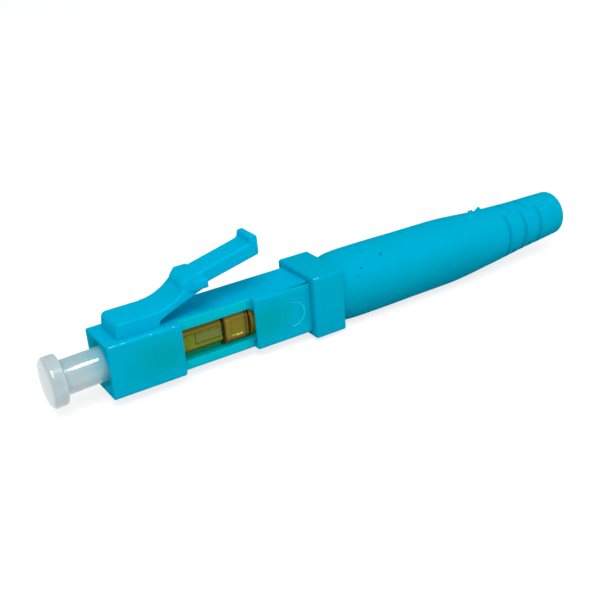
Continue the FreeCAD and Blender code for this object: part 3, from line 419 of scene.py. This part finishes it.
def stand(name, data):
    """A new object in the scene."""
    thing = bpy.data.objects.new(name, data)
    scene.collection.objects.link(thing)
    return thing


def as_mesh(name, shape):
    """The bmesh as a mesh. The bmesh is freed."""
    mesh = bpy.data.meshes.new(name)
    shape.to_mesh(mesh)
    shape.free()
    return mesh


def finished_mesh(thing):
    """The object's mesh with its modifiers applied. The object is removed."""
    result = bpy.data.meshes.new_from_object(
        thing.evaluated_get(bpy.context.evaluated_depsgraph_get()))
    bpy.data.objects.remove(thing)
    return result


def soften(thing, iterations, group=""):
    """A smoothing of the whole mesh, or of one vertex group."""
    smooth = thing.modifiers.new("soften", "SMOOTH")
    smooth.factor = 0.5
    smooth.iterations = iterations
    smooth.vertex_group = group


def add_piece(name, shape, material, body, sharp_angle=40):
    """The finished bmesh as a piece that rides on a body, smooth up to the sharp angle."""
    bmesh.ops.recalc_face_normals(shape, faces=shape.faces)
    mesh = as_mesh(name, shape)
    mesh.polygons.foreach_set("use_smooth", [True] * len(mesh.polygons))
    mesh.set_sharp_from_angle(angle=math.radians(sharp_angle))
    piece = stand(name, mesh)
    mesh.materials.append(material)
    if body:
        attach(piece, body)
    return piece


def arc_points(centre_along, centre_out, radius, first, last, steps):
    """Points of an arc in the profile's plane, from one angle in degrees to another."""
    points = []
    for step in range(steps + 1):
        turn = math.radians(first + (last - first) * step / steps)
        points.append((centre_along + radius * math.cos(turn),
                       centre_out + radius * math.sin(turn)))
    return points


def turn_profile(shape, profile, sides, place):
    """A closed skin round the X axis, through rings that the profile lists as place and radius.
    place gives a point from its place along, its radius and its angle."""
    rings = []
    for along, radius in profile:
        count = sides if radius > 0 else 1
        turns = [2 * math.pi * side / sides for side in range(count)]
        rings.append([shape.verts.new(place(along, radius, turn)) for turn in turns])
    for first, second in zip(rings, rings[1:]):
        for side in range(sides):
            after = (side + 1) % sides
            if len(first) == 1:
                shape.faces.new((first[0], second[side], second[after]))
            elif len(second) == 1:
                shape.faces.new((first[side], second[0], first[after]))
            else:
                shape.faces.new((first[side], second[side], second[after], first[after]))


CAP_FRONT, CAP_REAR, CAP_END = -4.4, -3.2, 2.55
CAP_FLANGE, CAP_STEM, CAP_BORE, CAP_BORE_END = 2.05, 1.4, 0.64, -2.3
CAP_DROOP, CAP_BAND = 0.04, 0.04
CAP_ROUND, CAP_DOME, CAP_DOME_STEPS, CAP_SIDES = 0.32, 0.05, 6, 96
REAR_ROUND, ROOT_ROUND, TIP_ROUND = 0.16, 0.12, 0.08
BORE_FLARE, BORE_FLARE_LENGTH = 0.1, 0.15


def make_cap():
    """The dust cap: a domed, rounded flange on a plain stem with a blind bore."""
    flat = CAP_FLANGE - CAP_ROUND
    front = []
    for step in range(CAP_DOME_STEPS + 1):
        share = step / CAP_DOME_STEPS
        front.append((CAP_FRONT + CAP_DOME * share ** 2, flat * share))
    outer = arc_points(CAP_FRONT + CAP_DOME + CAP_ROUND, flat, CAP_ROUND, 180, 90, 8)[1:]
    rear = arc_points(CAP_REAR - REAR_ROUND, CAP_FLANGE - REAR_ROUND, REAR_ROUND, 90, 0, 5)
    root = arc_points(CAP_REAR + ROOT_ROUND, CAP_STEM + ROOT_ROUND, ROOT_ROUND, 180, 270, 4)
    tip = arc_points(CAP_END - TIP_ROUND, CAP_STEM - TIP_ROUND, TIP_ROUND, 90, 0, 3)
    bore = [(CAP_END, CAP_BORE + BORE_FLARE), (CAP_END - BORE_FLARE_LENGTH, CAP_BORE),
            (CAP_BORE_END, CAP_BORE), (CAP_BORE_END, 0)]
    shape = bmesh.new()

    def place(along, radius, turn):
        sag = CAP_DROOP * min(along, 0)
        return Vector((along, radius * math.cos(turn), radius * math.sin(turn) + sag)) * MM

    rim = [(outer[-1][0] + CAP_BAND, CAP_FLANGE), (rear[0][0] - CAP_BAND, CAP_FLANGE)]
    stem = [(root[-1][0] + CAP_BAND, CAP_STEM), (0, CAP_STEM), (tip[0][0] - CAP_BAND, CAP_STEM)]
    turn_profile(shape, front + outer + rim + rear + root + stem + tip + bore, CAP_SIDES, place)
    piece = add_piece("cap_moulding", shape, milky, "cap")
    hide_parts("dust_cap")


BOOT_STATIONS = [
    # place along the axis, radius, in millimetres
    (20.5, 2.68), (20.95, 2.72), (21.15, 2.84), (21.4, 2.95), (21.8, 3.04), (22.4, 3.09),
    (23.4, 3.12), (26.0, 3.12), (29.5, 3.08), (32.0, 3.07), (34.0, 3.04), (35.7, 2.93),
    (38.0, 2.73), (40.5, 2.55), (43.0, 2.37), (45.2, 2.26), (47.45, 2.14),
]
BOOT_START, BOOT_END, BOOT_ROUND, BOOT_SIDES = 20.5, 47.75, 0.3, 176
CABLE_HOLE, CABLE_FLARE, END_FACE_RING = 0.55, 0.06, 1.2
HOLE_RINGS = [4.0, 8.0]    # how far in from the end, to keep the long hole's shading even
POST_ROOM, POST_ROOM_END, POST_ROOM_SLANT = 1.62, 28.4, 0.5
COLLAR_LOW, COLLAR_HIGH, COLLAR_ROUND = (17.94, -2.845, -2.78), (20.98, 2.845, 2.78), 0.22
DRILL_START, DRILL_END = 17, 22
TAIL_SLOPE, TAIL_BEND, BEND_HALF = math.tan(math.radians(2.32)), 37.98, 2.0
SLOT_MIDDLE, SLOT_PITCH, SLOT_STAGGER = 42.35, 2.1, 0.95
SLOT_DEPTH, TOP_SLOT_DEPTH = 0.26, 0.14
SKIN_LIMIT = 1.5    # rings wider than this carry the slots and the flash
FINE_STEP, WIDE_STEP, LEAST_STEP = 0.05, 0.22, 0.02
FINE_RANGES = [(37.4, 39.1), (39.6, 45.1)]


def boot_radius(along):
    """The smooth outline through the stations, by cubic pieces that keep each station's slope."""
    for index in range(len(BOOT_STATIONS) - 1):
        start, end = BOOT_STATIONS[index], BOOT_STATIONS[index + 1]
        if along <= end[0] or index == len(BOOT_STATIONS) - 2:
            break
    before = BOOT_STATIONS[max(index - 1, 0)]
    after = BOOT_STATIONS[min(index + 2, len(BOOT_STATIONS) - 1)]
    run = end[0] - start[0]
    slope_in = (end[1] - before[1]) / (end[0] - before[0]) * run
    slope_out = (after[1] - start[1]) / (after[0] - start[0]) * run
    share = (along - start[0]) / run
    square, cube = share ** 2, share ** 3
    return ((2 * cube - 3 * square + 1) * start[1] + (cube - 2 * square + share) * slope_in
            + (3 * square - 2 * cube) * end[1] + (cube - square) * slope_out)


def tail_lift(along):
    """How far the boot's middle lies above the axis: straight, then a short bend, then a slope."""
    if along < TAIL_BEND - BEND_HALF:
        return 0.0
    if along > TAIL_BEND + BEND_HALF:
        return TAIL_SLOPE * (along - TAIL_BEND)
    return TAIL_SLOPE * (along - TAIL_BEND + BEND_HALF) ** 2 / (4 * BEND_HALF)


def slot_cut(along, turn):
    """Depth of the strain relief slots at a place: side slots, then staggered ones between."""
    cut = 0.0
    slots = [(SLOT_MIDDLE + step * SLOT_PITCH, middle, 70, 0.25)
             for step in (-1, 0, 1) for middle in (0, 180)]
    slots += [(SLOT_MIDDLE + step * SLOT_PITCH + SLOT_STAGGER, middle, half, 0.2)
              for step in (-1, 0) for middle, half in ((90, 36), (270, 66))]
    for place, middle, half_arc, half_width in slots:
        if abs(along - place) > 2 * half_width:
            continue
        aside = abs((math.degrees(turn) - middle + 180) % 360 - 180)
        across = 1 - smooth_step(abs(along - place), 0.45 * half_width, 1.2 * half_width)
        depth = TOP_SLOT_DEPTH if middle == 90 else SLOT_DEPTH
        cut = max(cut, depth * across * (1 - smooth_step(aside, 0.7 * half_arc, half_arc)))
    return cut


FLASH_HALF_WIDTH = 0.12
FLASH = [
    # place along, place across, reach along, height: ragged mould flash on the boot's top line
    (37.8, 0.55, 0.14, 0.24), (38.12, 0.62, 0.1, 0.24),
    (39.1, 0.7, 0.14, 0.36), (38.84, 0.68, 0.12, 0.22),
]


def flash_height(along, across, up):
    if up < 0:
        return 0.0
    total = 0.0
    for place, side, reach, height in FLASH:
        away = ((along - place) / reach) ** 2 + ((across - side) / FLASH_HALF_WIDTH) ** 2
        total += height * math.exp(-away)
    return total


def boot_places():
    """Places of the rings: close together among the slots and the flash, wider elsewhere."""
    last = BOOT_END - BOOT_ROUND
    places = [BOOT_START]
    while places[-1] < last - LEAST_STEP:
        fine = any(low < places[-1] < high for low, high in FINE_RANGES)
        places.append(min(places[-1] + (FINE_STEP if fine else WIDE_STEP), last))
    return places


def bored(shape, radius, first, last):
    """The shape's mesh with a round hole along the axis."""
    rod = bmesh.new()
    bmesh.ops.create_cone(rod, cap_ends=True, segments=64, radius1=radius, radius2=radius,
                          depth=last - first)
    bmesh.ops.rotate(rod, verts=rod.verts, matrix=Matrix.Rotation(math.pi / 2, 3, "Y"))
    bmesh.ops.translate(rod, verts=rod.verts, vec=((first + last) / 2, 0, 0))
    block = stand("block", as_mesh("block", shape))
    drill = stand("drill", as_mesh("drill", rod))
    hole = block.modifiers.new("hole", "BOOLEAN")
    hole.operation = "DIFFERENCE"
    hole.solver = "EXACT"
    hole.object = drill
    cut = finished_mesh(block)
    bpy.data.objects.remove(drill)
    return cut


def make_boot():
    """The boot: a rounded square collar and a long tapered tail with slots and a lifted end."""
    end_radius = boot_radius(BOOT_END - BOOT_ROUND)
    profile = [(BOOT_START, POST_ROOM)] + [(along, boot_radius(along)) for along in boot_places()]
    profile += arc_points(BOOT_END - BOOT_ROUND, end_radius - BOOT_ROUND, BOOT_ROUND, 90, 0, 6)[1:]
    profile += [(BOOT_END, END_FACE_RING), (BOOT_END, CABLE_HOLE + CABLE_FLARE)]
    profile += [(BOOT_END - back, CABLE_HOLE) for back in [CABLE_FLARE] + HOLE_RINGS]
    profile += [(POST_ROOM_END, CABLE_HOLE), (POST_ROOM_END - POST_ROOM_SLANT, POST_ROOM)]
    profile.append((BOOT_START, POST_ROOM))
    shape = bmesh.new()

    def place(along, radius, turn):
        outer = radius > SKIN_LIMIT
        reach = radius - slot_cut(along, turn) if outer else radius
        across, up = reach * math.cos(turn), reach * math.sin(turn)
        if outer:
            bump = flash_height(along, across, up)
            across, up = across * (1 + bump / reach), up * (1 + bump / reach)
        return Vector((along, across, up + tail_lift(along))) * MM

    turn_profile(shape, profile, BOOT_SIDES, place)
    bmesh.ops.remove_doubles(shape, verts=shape.verts, dist=MERGE)
    bmesh.ops.recalc_face_normals(shape, faces=shape.faces)
    collar = bmesh.new()
    bmesh.ops.create_cube(collar, size=1.0)
    low, high = Vector(COLLAR_LOW) * MM, Vector(COLLAR_HIGH) * MM
    for vert in collar.verts:
        for axis in range(3):
            vert.co[axis] = high[axis] if vert.co[axis] > 0 else low[axis]
    bmesh.ops.bevel(collar, geom=collar.edges, offset=COLLAR_ROUND * MM, segments=5, profile=0.5,
                    affect="EDGES", material=-1)
    shape.from_mesh(bored(collar, POST_ROOM * MM, DRILL_START * MM, DRILL_END * MM))
    piece = add_piece("boot_moulding", shape, aqua_boot, "plug", 50)
    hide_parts("boot")


def cad_copy(node):
    """A merged copy of a CAD node's mesh, in the row frame."""
    shape = bmesh.new()
    shape.from_mesh(nodes[node].data)
    bmesh.ops.transform(shape, matrix=nodes[node].matrix_world, verts=shape.verts)
    bmesh.ops.remove_doubles(shape, verts=shape.verts, dist=MERGE)
    return shape


def cut_off(shape, height, keep_above):
    """Cuts the shape level at a height, keeps one side and closes it."""
    geometry = shape.verts[:] + shape.edges[:] + shape.faces[:]
    cut = bmesh.ops.bisect_plane(shape, geom=geometry, dist=0.0001 * MM,
                                 plane_co=(0, 0, height), plane_no=(0, 0, 1),
                                 clear_inner=keep_above, clear_outer=not keep_above)
    rim = [item for item in cut["geom_cut"] if isinstance(item, bmesh.types.BMEdge)]
    bmesh.ops.contextual_create(shape, geom=rim)
    return shape


PLUG_TOP, LATCH_ROOT = 2.29, 4.79
FLAT_ANGLE = 0.3                       # degrees under which the plug's facets are one face
FOOT_SINK, ARM_OVERLAP, VOXEL = 0.45, 0.3, 0.05
SKIN_SOFTENING, CROWN_SOFTENING = 16, 45
CROWN_RISE, CROWN_FALL, CROWN_EDGE = (5.8, 6.8), (8.2, 9.2), (1.3, 1.7)


def make_latch():
    """Foot and latch arm as the one soft-edged moulding that they are. The foot reaches down into
    the housing, and the arm back into the foot, so that one skin closes over both. The crown, where
    the arm rises between its lugs, is softened further."""
    foot = cut_off(cad_copy("plug_housing"), (PLUG_TOP + 0.004) * MM, True)
    for vert in foot.verts:
        if vert.co.z < (PLUG_TOP + 0.006) * MM:
            vert.co.z -= FOOT_SINK * MM
    arm = cad_copy("latch_arm")
    for vert in arm.verts:
        if vert.co.x < (LATCH_ROOT + 0.01) * MM:
            vert.co.x -= ARM_OVERLAP * MM
    foot.from_mesh(as_mesh("arm_copy", arm))
    rough = stand("latch_parts", as_mesh("latch_parts", foot))
    remesh = rough.modifiers.new("skin", "REMESH")
    remesh.mode = "VOXEL"
    remesh.voxel_size = VOXEL * MM
    soften(rough, SKIN_SOFTENING)
    skin = stand("latch_skin", finished_mesh(rough))
    crown = skin.vertex_groups.new(name="crown")
    for vert in skin.data.vertices:
        along, aside = vert.co.x / MM, abs(vert.co.y) / MM
        weight = smooth_step(along, *CROWN_RISE) * (1 - smooth_step(along, *CROWN_FALL))
        weight *= 1 - smooth_step(aside, *CROWN_EDGE)
        crown.add([vert.index], weight, "REPLACE")
    soften(skin, CROWN_SOFTENING, "crown")
    shape = bmesh.new()
    shape.from_mesh(finished_mesh(skin))
    piece = add_piece("latch_moulding", shape, aqua_plug, None, 180)
    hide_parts("latch_arm")
    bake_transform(piece)


def make_plug():
    """The plug's housing without the foot, which belongs to the latch piece."""
    shape = cut_off(cad_copy("plug_housing"), PLUG_TOP * MM, False)
    bmesh.ops.dissolve_limit(shape, angle_limit=math.radians(FLAT_ANGLE), verts=shape.verts,
                             edges=shape.edges)
    piece = add_piece("plug_moulding", shape, aqua_plug, "plug", 35)
    piece.modifiers.new("even_shading", "WEIGHTED_NORMAL").keep_sharp = True
    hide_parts("plug_housing")


def make_spring():
    """The coil, as its own piece with its own mesh, riding on the plug. The real coil shortens as
    the ferrule set is pushed back against it.
    """
    coil = add_piece("spring_coil", cad_copy("spring"), steel, "plug")
    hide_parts("spring")
    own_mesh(coil)


make_cap()
make_spring()
make_boot()
make_latch()
make_plug()

# ---------------------------------------------------------------- light, floor and camera

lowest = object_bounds()[0]
scene.view_settings.view_transform = "Standard"
FLOOR_MIDDLE, FLOOR_HALF = 0.02, 0.6


def world_light():
    """Even studio light. Rays that look at it past the object see plain white."""
    sky = Material("studio", bpy.data.worlds)
    scene.world = sky.data
    path = sky.node("ShaderNodeLightPath")
    seen = sky.value(path, "Is Camera Ray").maths("MAXIMUM", path.outputs["Is Transmission Ray"])
    soft = sky.node("ShaderNodeBackground", None,
                    {"Color": (0.97, 0.985, 1.0, 1.0), "Strength": 0.56}).outputs[0]
    plain = sky.node("ShaderNodeBackground", None, {"Color": WHITE, "Strength": 1.0}).outputs[0]
    both = sky.node("ShaderNodeMixShader", None, {0: seen, 1: soft, 2: plain}).outputs[0]
    sky.node("ShaderNodeOutputWorld", None, {"Surface": both})


def area_lamp(name, place, target, width, height, watts):
    """A rectangular lamp that looks at the target, with its places and sizes in metres."""
    lamp = bpy.data.lights.new(name, "AREA")
    lamp.shape = "RECTANGLE"
    lamp.size = width
    lamp.size_y = height
    lamp.energy = watts
    holder = stand(name, lamp)
    holder.location = place
    aim = Vector(target) - Vector(place)
    holder.rotation_euler = aim.to_track_quat("-Z", "Y").to_euler()
    return holder


def make_floor():
    """A pale floor under the object: grey to the light that falls on it, near white to the eye."""
    shape = bmesh.new()
    bmesh.ops.create_grid(shape, x_segments=1, y_segments=1, size=FLOOR_HALF)
    bmesh.ops.translate(shape, verts=shape.verts, vec=(FLOOR_MIDDLE, 0, lowest.z))
    floor = stand("floor", as_mesh("floor", shape))
    paint = Material("pale_floor")
    path = paint.node("ShaderNodeLightPath")
    seen = paint.value(path, "Is Camera Ray").maths("MAXIMUM", path.outputs["Is Glossy Ray"])
    seen = seen.maths("MAXIMUM", path.outputs["Is Transmission Ray"])
    card = paint.node("ShaderNodeBsdfDiffuse", None, {"Color": (0.7, 0.7, 0.7, 1)}).outputs[0]
    faint = paint.node("ShaderNodeBsdfDiffuse", None, {"Color": (0.3, 0.3, 0.3, 1)}).outputs[0]
    glow = paint.node("ShaderNodeEmission", None, {"Color": WHITE, "Strength": 0.78}).outputs[0]
    lit = paint.node("ShaderNodeAddShader", None, {0: faint, 1: glow}).outputs[0]
    paint.output(paint.node("ShaderNodeMixShader", None, {0: seen, 1: card, 2: lit}).outputs[0])
    floor.data.materials.append(paint.data)


def make_camera():
    """The view: from the left of the front end, above, slightly rolled."""
    azimuth = math.radians(30.465)
    down = math.radians(24.839)
    roll = math.radians(-4.494)
    look = Vector((math.sin(azimuth) * math.cos(down), math.cos(azimuth) * math.cos(down),
                   -math.sin(down)))
    level = look.cross(Vector((0, 0, 1))).normalized()
    upright = level.cross(look)
    right = level * math.cos(roll) + upright * math.sin(roll)
    up = right.cross(look)
    data = bpy.data.cameras.new("view")
    data.sensor_width = 36
    data.lens = 56.35
    data.clip_start = 0.001
    camera = stand("view", data)
    place = Vector((-18.869, -63.040, 33.664)) * MM
    turn = Matrix((right, up, -look)).transposed().to_4x4()
    camera.matrix_world = Matrix.Translation(place) @ turn
    scene.camera = camera


world_light()
middle = (FLOOR_MIDDLE, 0, 0)
area_lamp("key", (-0.08, -0.18, 0.32), middle, width=0.22, height=0.22, watts=0.9)
area_lamp("fill", (0.22, -0.20, 0.12), middle, width=0.25, height=0.25, watts=0.18)
# A narrow lamp that only gloss shows: it draws the bright streak along the cap's stem.
strip = area_lamp("gloss_strip", (0.0106, -0.0282, 0.0526), middle,
                  width=0.0036, height=0.018, watts=0.005)
strip.rotation_euler = (math.radians(30.5), 0, 0)
strip.visible_diffuse = False
make_floor()
make_camera()
